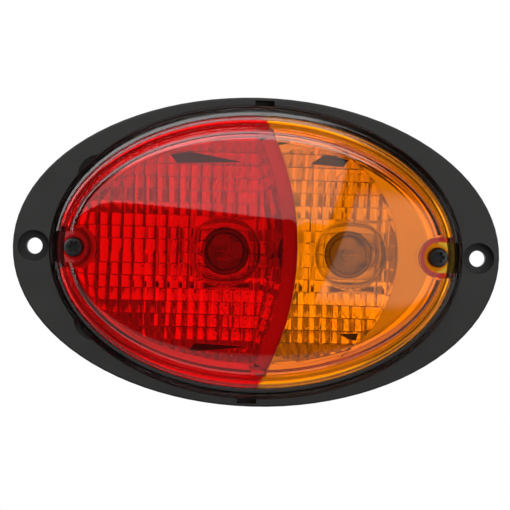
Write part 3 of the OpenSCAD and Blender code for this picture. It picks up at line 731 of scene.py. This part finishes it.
def dish(name, x_from, x_to, rise, bulb_x):
    """A closed solid with a stepped, fluted top, plain where its rows pass the bulb."""
    sizes = bpy.context.scene.lamp_sizes
    pitch = sizes.flute_pitch
    columns = [((i + share) * pitch, i, share)
               for i in range(math.floor(x_from / pitch), math.ceil(x_to / pitch))
               for share in FLUTE_SHARES]
    lines = row_lines()
    verts, n, m = [], len(columns), len(lines)
    for y, z, k in lines:
        for x, i, share in columns:
            fluted = 1
            if k in PLAIN_ROWS:
                fluted = min(max((abs(x - bulb_x) - PLAIN_HALF) / PLAIN_FADE, 0), 1)
            verts.append((x, y, z + rise(x) + fluted * flute(share, i, k, sizes.flute_crown)))
    verts += [(x, y, z + rise(x) - REFLECTOR_WALL - 1) for y, z, k in lines for x, _, _ in columns]
    under = n * m
    faces = []
    for j in range(m - 1):
        for i in range(n - 1):
            a = j * n + i
            faces.append((a, a + 1, a + n + 1, a + n))
            faces.append((under + a, under + a + n, under + a + n + 1, under + a + 1))
    for i in range(n - 1):
        faces.append((i, under + i, under + i + 1, i + 1))
        a = (m - 1) * n + i
        faces.append((a, a + 1, under + a + 1, under + a))
    for j in range(m - 1):
        a = j * n
        faces.append((a, a + n, under + a + n, under + a))
        a = j * n + n - 1
        faces.append((a, under + a, under + a + n, a + n))
    return new_object(name, verts, faces)


def red_rise(x):
    """How much higher the red dish lies than at its bulb."""
    return DISH_DEPTH * ((x - TAIL_X) / (RED_SWEEP if x < TAIL_X else RED_SWEEP_RIGHT)) ** 2


def amber_rise(x):
    """How much higher the amber dish lies than at its bulb."""
    return DISH_DEPTH * ((x - INDICATOR_X) / AMBER_SWEEP) ** 2


def divider():
    """The wall under the joint: flat on top, drafted on both sides, following the dome."""
    foot = DISH_Z - REFLECTOR_WALL
    verts, sections = [], 0
    for i in range(-DIVIDER_STEPS, DIVIDER_STEPS + 1):
        turn = math.radians(i * DIVIDER_STEP)
        c, s = math.cos(turn), math.sin(turn)
        x, y = JOINT_CX + JOINT_R * c, JOINT_R * s
        share = math.hypot(x / DOME_A, y / DOME_B)
        head = dome_height(min(share, 1)) - DIVIDER_DROP
        if math.hypot(x / (PANEL_A + 1), y / (LEDGE_B + 1)) > 1:
            continue
        for r, z in ((JOINT_R - DIVIDER_TOP - DIVIDER_DRAFT_RED, foot),
                     (JOINT_R + DIVIDER_DRAFT_AMBER, foot),
                     (JOINT_R + 0.1, head), (JOINT_R - DIVIDER_TOP, head)):
            verts.append((JOINT_CX + r * c, r * s, z))
        sections += 1
    last = (sections - 1) * 4
    faces = bands(range(sections - 1), sections, 4)
    faces += [(3, 2, 1, 0), (last, last + 1, last + 2, last + 3)]
    wall = new_object("divider", verts, faces)
    select_only(wall)
    bpy.ops.object.mode_set(mode="EDIT")
    bpy.ops.mesh.select_all(action="SELECT")
    bpy.ops.mesh.normals_make_consistent(inside=False)
    bpy.ops.object.mode_set(mode="OBJECT")
    return wall


def reflector_rim():
    """The rim all round: a flange with a groove, a dark channel, and a ledge sloping outwards."""
    top = LEDGE_Z
    flange = [(4.9, RECESS_Z), (4.9, top - 0.5), (5.2, top - 0.15), (5.7, top), (6.2, top - 0.12),
              (6.42, top - 0.4), (6.48, top - 0.9), (6.98, top - 0.9), (7.04, top - 0.4),
              (7.2, top - 0.12), (7.5, top), (7.8, top - 0.14), (GAP_FROM, top - 0.4),
              (GAP_FROM, CHANNEL_Z + CHANNEL_WALL), (RIM_SIDE, CHANNEL_Z + CHANNEL_WALL),
              (RIM_SIDE, top - 1.0)]
    ledge = [(PANEL_A - 0.03, PANEL_B - 0.15, top - 0.8), (PANEL_A - 0.1, PANEL_B - 0.9, top - 0.5),
             (PANEL_A - 0.2, PANEL_B - 1.9, top - 0.2), (PANEL_A - 0.3, LEDGE_B, top),
             (PANEL_A - 0.4, LEDGE_B - 0.2, top - 0.05),
             (PANEL_A - 0.4, LEDGE_B - 0.2, top - REFLECTOR_WALL),
             (PANEL_A - CHANNEL_WALL, PANEL_B - CHANNEL_WALL, top - REFLECTOR_WALL),
             (PANEL_A - CHANNEL_WALL, PANEL_B - CHANNEL_WALL, CHANNEL_Z)]
    back = [(*rim(GAP_FROM - CHANNEL_WALL), CHANNEL_Z), (*rim(GAP_FROM - CHANNEL_WALL), RECESS_Z)]
    made = hoop("rim", [(*rim(s), z) for s, z in flange] + ledge + back)
    made.data.flip_normals()
    return made


def crescent_panel():
    """The grained panel beside the amber dish, a little below the smooth rib along its edge."""
    panel_oval = oval(PANEL_A - 0.3, PANEL_B - 0.3)
    rib = tube("rib", crescent_circle(CRESCENT_RIB), crescent_circle(0), DISH_Z, CRESCENT_Z)
    combine(rib, prism("panel", panel_oval, CUT_LOW, CUT_HIGH), "INTERSECT")
    x = CRESCENT_X - RIB_REACH
    combine(rib, prism("box", box_outline(x, x + 60, 60), CUT_LOW, CUT_HIGH), "INTERSECT")
    panel = prism("crescent_panel", panel_oval, CRESCENT_Z - CRESCENT_DROP - REFLECTOR_WALL,
                  CRESCENT_Z - CRESCENT_DROP)
    combine(panel, prism("inside", crescent_circle(0.4), CUT_LOW, CUT_HIGH), "DIFFERENCE")
    beyond = box_outline(CRESCENT_CX, CRESCENT_CX + 90, 60)
    combine(panel, prism("keep", beyond, CUT_LOW, CUT_HIGH), "INTERSECT")
    return combine(rib, panel, "UNION")


def ear(side):
    """The ear under one screw tab of the lens, on its skirt, with a collar at the crescent."""
    made = prism("ear", well_outline(side, EAR_R), EAR_Z, WELL_SEAT_Z)
    inside = prism("inside", oval(*rim(CUP_FROM + LENS_GAP)), CUT_LOW, CUT_HIGH)
    combine(made, inside, "INTERSECT")
    skirt = tube("skirt", well_outline(side, EAR_R),
                 well_outline(side, EAR_R - CHANNEL_WALL, WELL_REACH + 2),
                 EAR_FOOT_Z, CRESCENT_Z if side > 0 else WELL_SEAT_Z)
    combine(skirt, prism("inside", oval(*rim(GAP_FROM)), CUT_LOW, CUT_HIGH), "INTERSECT")
    return combine(made, skirt, "UNION")


def insert_finish(face):
    """A face's finish: satin on the wall's top and by the screws, matt on the crescent panel."""
    x, y, height = face.center.x / MM, face.center.z / MM, -face.center.y / MM
    from_joint = math.hypot(x - JOINT_CX, y) - JOINT_R
    on_wall = -DIVIDER_TOP - 0.1 < from_joint < 0.2 and height > LEDGE_Z + 0.5
    if on_wall and face.normal.y < -0.7:
        return SATIN
    if abs(face.normal.y) <= 0.9:
        return MIRROR
    if math.hypot(abs(x) - SCREW_X, y) < EAR_R and height < CRESCENT_Z - 0.5:
        return SATIN
    beyond = x > CRESCENT_CX and math.hypot(x - CRESCENT_CX, y) > CRESCENT_R + CRESCENT_RIB
    return MATT if beyond and abs(height - CRESCENT_Z + CRESCENT_DROP) < 0.02 else MIRROR


class LAMP_OT_reflector(bpy.types.Operator):
    """Moulds the metallised insert: two fluted dishes, the wall between them, rim and crescent"""
    bl_idname = "lamp.reflector"
    bl_label = "Reflector"

    def execute(self, context):
        insert = dish("reflector_insert", -PANEL_A - 2, JOINT_X + 2, red_rise, TAIL_X)
        amber = dish("amber_dish", JOINT_X - 15, CRESCENT_X + 4, amber_rise, INDICATOR_X)
        for part in (insert, amber):
            outline = prism("outline", oval(PANEL_A - 0.2, LEDGE_B + 0.3), CUT_LOW + 1, LEDGE_Z)
            combine(part, outline, "INTERSECT")
        for part, bound, operation in (
                (insert, joint_circle(-DIVIDER_TOP), "INTERSECT"),
                (amber, crescent_circle(0.6), "INTERSECT"),
                (amber, joint_circle(-0.5), "DIFFERENCE")):
            combine(part, prism("bound", bound, CUT_LOW, CUT_FRONT), operation)
        for part in (divider(), amber, crescent_panel(), reflector_rim()):
            combine(insert, part, "UNION")
        for x in (TAIL_X, INDICATOR_X):
            opening = prism("opening", circle(x, 0, BULB_OPENING_R), CUT_LOW, DISH_Z + 4)
            combine(insert, opening, "DIFFERENCE")
        for points in WEDGES:
            combine(insert, prism("wedge", points, CUT_LOW, LEDGE_Z), "DIFFERENCE")
        for side in (-1, 1):
            combine(insert, ear(side), "UNION")
            clear = well_outline(side, WELL_R + WELL_WALL + LENS_GAP, WELL_REACH + 2)
            combine(insert, prism("well", clear, WELL_SEAT_Z - 0.06, CUT_HIGH), "DIFFERENCE")
            beyond = tube("beyond", clear, oval(*rim(CUP_FROM + LENS_GAP)), RECESS_Z, CUT_HIGH + 1)
            combine(insert, beyond, "DIFFERENCE")
            boss = prism("boss", circle(side * SCREW_X, 0, BOSS_R + LENS_GAP), CUT_LOW, EAR_Z)
            combine(insert, boss, "DIFFERENCE")
            hole = prism("hole", circle(side * SCREW_X, 0, SCREW_HOLE_R), CUT_LOW, CUT_HIGH)
            combine(insert, hole, "DIFFERENCE")
        # Smooth plating mirrors the studio in every facet, the eroded crescent glows softly with
        # its grain on it, and satin stays an even pale grey. The crescent's real grain is finer,
        # and is drawn 0.5 mm wide and 0.2 mm deep so that it shows.
        dress(insert,
              mirror_metal("Metallised ABS, smooth", "#E9E9EA", 0.05, 1.5, 0.012),
              mirror_metal("Metallised ABS, spark-eroded grain", "#C6C5C3", 0.6, 0.5, 0.2,
                           metallic=0.2),
              mirror_metal("Metallised ABS, satin", "#F0F0F0", 0.42, 0.5, 0.01))
        smooth(insert, 26)
        for face in insert.data.polygons:
            face.material_index = insert_finish(face)
        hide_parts("reflector")
        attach(insert, "root")
        return {"FINISHED"}


def bulb_line(tip, inset):
    """The glass's outline from its foot to its tip, as [radius, height], moved in by a wall."""
    ball, foot = tip - GLASS_R, tip - BULB_LENGTH + GLASS_FROM
    r, neck_r = GLASS_R - inset, GLASS_NECK_R - inset
    neck = [(neck_r, foot), (neck_r, ball - 14), (neck_r, ball - 12), (neck_r + 0.15, ball - 11)]
    angles = [math.radians(a) for a in range(136, 3, -6)]
    return curve_through(neck + [(r * math.sin(a), ball + r * math.cos(a)) for a in angles], 2)


class LAMP_OT_bulbs(bpy.types.Operator):
    """Blows the two bulbs' glass: a thin ball on a neck that runs down into the cap"""
    bl_idname = "lamp.bulbs"
    bl_label = "Bulb glass"

    def execute(self, context):
        glass = clear_glass("Soda-lime glass, blown")
        tip = DOME_Z - LENS_WALL - BULB_CLEARANCE
        outside, inside = bulb_line(tip, 0), bulb_line(tip, GLASS_WALL)
        rings = outside + inside[::-1]
        n, top, count = BULB_STEPS, len(outside) - 1, len(rings)
        # All rings are joined but the two at the tips, which each close on a point
        faces = bands([k for k in range(count) if k != top], count, n)
        faces += [(top * n + i, top * n + (i + 1) % n, count * n) for i in range(n)]
        faces += [((top + 1) * n + (i + 1) % n, (top + 1) * n + i, count * n + 1)
                  for i in range(n)]
        for name, x in (("tail_bulb_glass", TAIL_X), ("indicator_bulb_glass", INDICATOR_X)):
            verts = [(x + r * c, r * s, z) for r, z in rings for c, s in turns(n)]
            verts += [(x, 0, tip), (x, 0, tip - GLASS_WALL)]
            shell = new_object(name + "_shell", verts, faces)
            dress(shell, glass)
            smooth(shell, 60)
            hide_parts(name)
            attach(shell, "root")
        return {"FINISHED"}


class LAMP_OT_finishes(bpy.types.Operator):
    """Gives each carried-over piece its material"""
    bl_idname = "lamp.finishes"
    bl_label = "Finishes"

    def execute(self, context):
        # A fine even grain breaks the shine up, so the flange only shows soft lines at its edges.
        # The real grain is finer, and is drawn one pixel wide so that it shows.
        black = grained("ABS, moulded with a spark-eroded grain",
                        context.scene.lamp_colours.housing, 0.52, 0.35, 0.03)
        choice = {"base_housing": black}
        for name, colour, roughness, grain_mm, depth_mm, metallic, pieces in FINISHES:
            made = grained(name, linear(colour), roughness, grain_mm, depth_mm, metallic)
            choice.update({piece: made for piece in pieces})
        for name, material in choice.items():
            if not NODES[name].material_slots:
                raise RuntimeError(f"{name} has no material slot")
            for slot in NODES[name].material_slots:
                slot.material = material
        # Dry and pale, it covers the insulator's end inside the bulb
        cement = grained("Basing cement, cured", linear("#C9BBA2"), 0.8, 0.4, 0.03)
        for name in ("tail_bulb_insulator", "indicator_bulb_insulator"):
            node = NODES[name]
            node.data = node.data.copy()
            node.data.materials.append(cement)
            for face in node.data.polygons:
                if face.normal.y < -0.8:
                    face.material_index = len(node.data.materials) - 1
        return {"FINISHED"}


def towards(azimuth, elevation):
    """The direction at a bearing and a height, in degrees, seen from the lens."""
    az, el = math.radians(azimuth), math.radians(elevation)
    return Vector((math.sin(az) * math.cos(el), -math.cos(az) * math.cos(el), math.sin(el)))


def softbox(name, azimuth, elevation, width, height, level):
    """A flat lamp seen from the lens at a bearing and a height, as wide and high as the angles."""
    data = bpy.data.lights.new(name, "AREA")
    data.shape = "RECTANGLE"
    data.size = 2 * LAMP_DISTANCE * math.tan(math.radians(width / 2))
    data.size_y = 2 * LAMP_DISTANCE * math.tan(math.radians(height / 2))
    data.energy = level * math.pi * data.size * data.size_y
    box = bpy.data.objects.new(name, data)
    bpy.context.scene.collection.objects.link(box)
    away = towards(azimuth, elevation)
    box.location = away * LAMP_DISTANCE
    box.rotation_euler = away.to_track_quat("Z", "Y").to_euler()


def panel_of_light(tree, way, middle, edges):
    """How far a direction lies inside a panel of light, from 0 to 1 over its soft edges."""
    inside = None
    for start, end, soft in edges:
        across = towards(*start).cross(towards(*end)).normalized()
        if across.dot(towards(*middle)) < 0:
            across.negate()
        depth = add(tree, "VectorMath", {0: way, 1: across}, operation="DOT_PRODUCT")
        half = math.radians(soft / 2)
        edge = add(tree, "MapRange", {"Value": depth.outputs["Value"]},
                   From_Min=-half, From_Max=half, interpolation_type="SMOOTHSTEP")
        if inside is None:
            inside = edge.outputs["Result"]
        else:
            inside = add(tree, "Math", {0: inside, 1: edge.outputs["Result"]},
                         operation="MULTIPLY").outputs[0]
    return inside


def lit_by(tree, way, panels):
    """The level of the brightest of several panels in each direction."""
    value = None
    for (middle, edges), level in panels:
        inside = panel_of_light(tree, way, middle, edges)
        lit = add(tree, "Math", {0: inside, 1: level}, operation="MULTIPLY").outputs[0]
        if value is None:
            value = lit
        else:
            value = add(tree, "Math", {0: value, 1: lit}, operation="MAXIMUM").outputs[0]
    return value


class LAMP_OT_stage(bpy.types.Operator):
    """Adds the studio: white behind the lamp, a dim room in front, and softboxes round it"""
    bl_idname = "lamp.stage"
    bl_label = "Stage"

    def execute(self, context):
        light = context.scene.studio_light
        softbox("left_strip", *LEFT_STRIP, light.box_level * LEFT_STRIP_LEVEL)
        world = bpy.data.worlds.new("studio")
        context.scene.world = world
        world.use_nodes = True
        tree = world.node_tree
        tree.nodes.clear()
        out = tree.nodes.new("ShaderNodeOutputWorld")
        way = add(tree, "TexCoord").outputs["Generated"]
        axis = add(tree, "SeparateXYZ", {"Vector": way})
        path = add(tree, "LightPath")
        # The smooth outside mirrors sharp softboxes, and through the lens they are wider
        within = add(tree, "Math", {0: path.outputs["Transmission Depth"], 1: 0.5},
                     operation="GREATER_THAN").outputs["Value"]
        boxes = lit_by(tree, way, (
            (TOP_BOX, light.box_level), (RIGHT_BOX, light.box_level * 0.9),
            (OVERHEAD, light.strip_level)))
        inner_boxes = lit_by(tree, way, (
            (INNER_TOP, light.box_level * 1.2), (INNER_RIGHT, light.box_level * 1.08),
            (INNER_FLOOR, light.box_level * 0.85)))
        boxes = add(tree, "MapRange", {"Value": within, "To Min": boxes, "To Max": inner_boxes})
        # Through the lens the room has a bright core, a dark ring round it, and dim walls
        core = add(tree, "MapRange", {"Value": axis.outputs["Z"]},
                   From_Min=CORE_HEIGHTS[0], From_Max=CORE_HEIGHTS[1],
                   To_Min=light.core_level * CORE_SHARES[0],
                   To_Max=light.core_level * CORE_SHARES[1])
        ring = add(tree, "MapRange", {"Value": axis.outputs["Y"]},
                   From_Min=RING_OUTSIDE[0], From_Max=RING_OUTSIDE[1],
                   To_Min=light.inner_level, To_Max=light.room_level)
        inner = add(tree, "MapRange",
                    {"Value": axis.outputs["Y"], "To Min": core.outputs["Result"],
                     "To Max": ring.outputs["Result"]},
                    From_Min=RING_INSIDE[0], From_Max=RING_INSIDE[1])
        room = add(tree, "MapRange", {"Value": within, "To Max": inner.outputs["Result"]},
                   To_Min=light.room_level)
        table_level = add(tree, "MapRange", {"Value": within}, To_Min=light.table_level,
                          To_Max=light.table_level + light.inner_level)
        table = add(tree, "Math", {0: panel_of_light(tree, way, *TABLE),
                                   1: table_level.outputs["Result"]}, operation="MULTIPLY")
        front = boxes.outputs["Result"]
        for source in (room.outputs["Result"], table.outputs["Value"]):
            front = add(tree, "Math", {0: front, 1: source}, operation="MAXIMUM").outputs[0]
        behind = add(tree, "MapRange", {"Value": axis.outputs["Y"], "To Min": front},
                     From_Min=WHITE_FROM[0], From_Max=WHITE_FROM[1], To_Max=1.0)
        # The camera sees plain white all round
        seen = add(tree, "Math", {0: behind.outputs["Result"], 1: path.outputs["Is Camera Ray"]},
                   operation="MAXIMUM")
        ground = add(tree, "Background", {"Color": seen.outputs["Value"]}, Strength=1.0)
        tree.links.new(ground.outputs["Background"], out.inputs["Surface"])
        return {"FINISHED"}


class LAMP_PT_panel(bpy.types.Panel):
    bl_label = "Tail Light"
    bl_idname = "LAMP_PT_panel"
    bl_space_type = "VIEW_3D"
    bl_region_type = "UI"
    bl_category = "Tail Light"

    def draw(self, context):
        scene = context.scene
        for group in (scene.lamp_colours, scene.lamp_sizes, scene.studio_light):
            for name in group.__annotations__:
                self.layout.prop(group, name)
        for step in OPERATORS:
            self.layout.operator(step.bl_idname)


OPERATORS = (LAMP_OT_camera, LAMP_OT_finishes, LAMP_OT_reflector, LAMP_OT_bulbs, LAMP_OT_lens,
             LAMP_OT_stage)
CLASSES = (LampColours, LampSizes, StudioLight, LAMP_PT_panel) + OPERATORS


def register():
    for c in CLASSES:
        bpy.utils.register_class(c)
    bpy.types.Scene.lamp_colours = bpy.props.PointerProperty(type=LampColours)
    bpy.types.Scene.lamp_sizes = bpy.props.PointerProperty(type=LampSizes)
    bpy.types.Scene.studio_light = bpy.props.PointerProperty(type=StudioLight)


def unregister():
    del bpy.types.Scene.studio_light
    del bpy.types.Scene.lamp_sizes
    del bpy.types.Scene.lamp_colours
    for c in reversed(CLASSES):
        bpy.utils.unregister_class(c)


def main():
    register()
    bpy.ops.object.select_all(action="DESELECT")
    bpy.ops.lamp.camera()
    bpy.ops.lamp.finishes()
    bpy.ops.lamp.reflector()
    bpy.ops.lamp.bulbs()
    bpy.ops.lamp.lens()
    bpy.ops.lamp.stage()
    bpy.context.scene.view_settings.view_transform = "Standard"


if __name__ == "__main__":
    main()
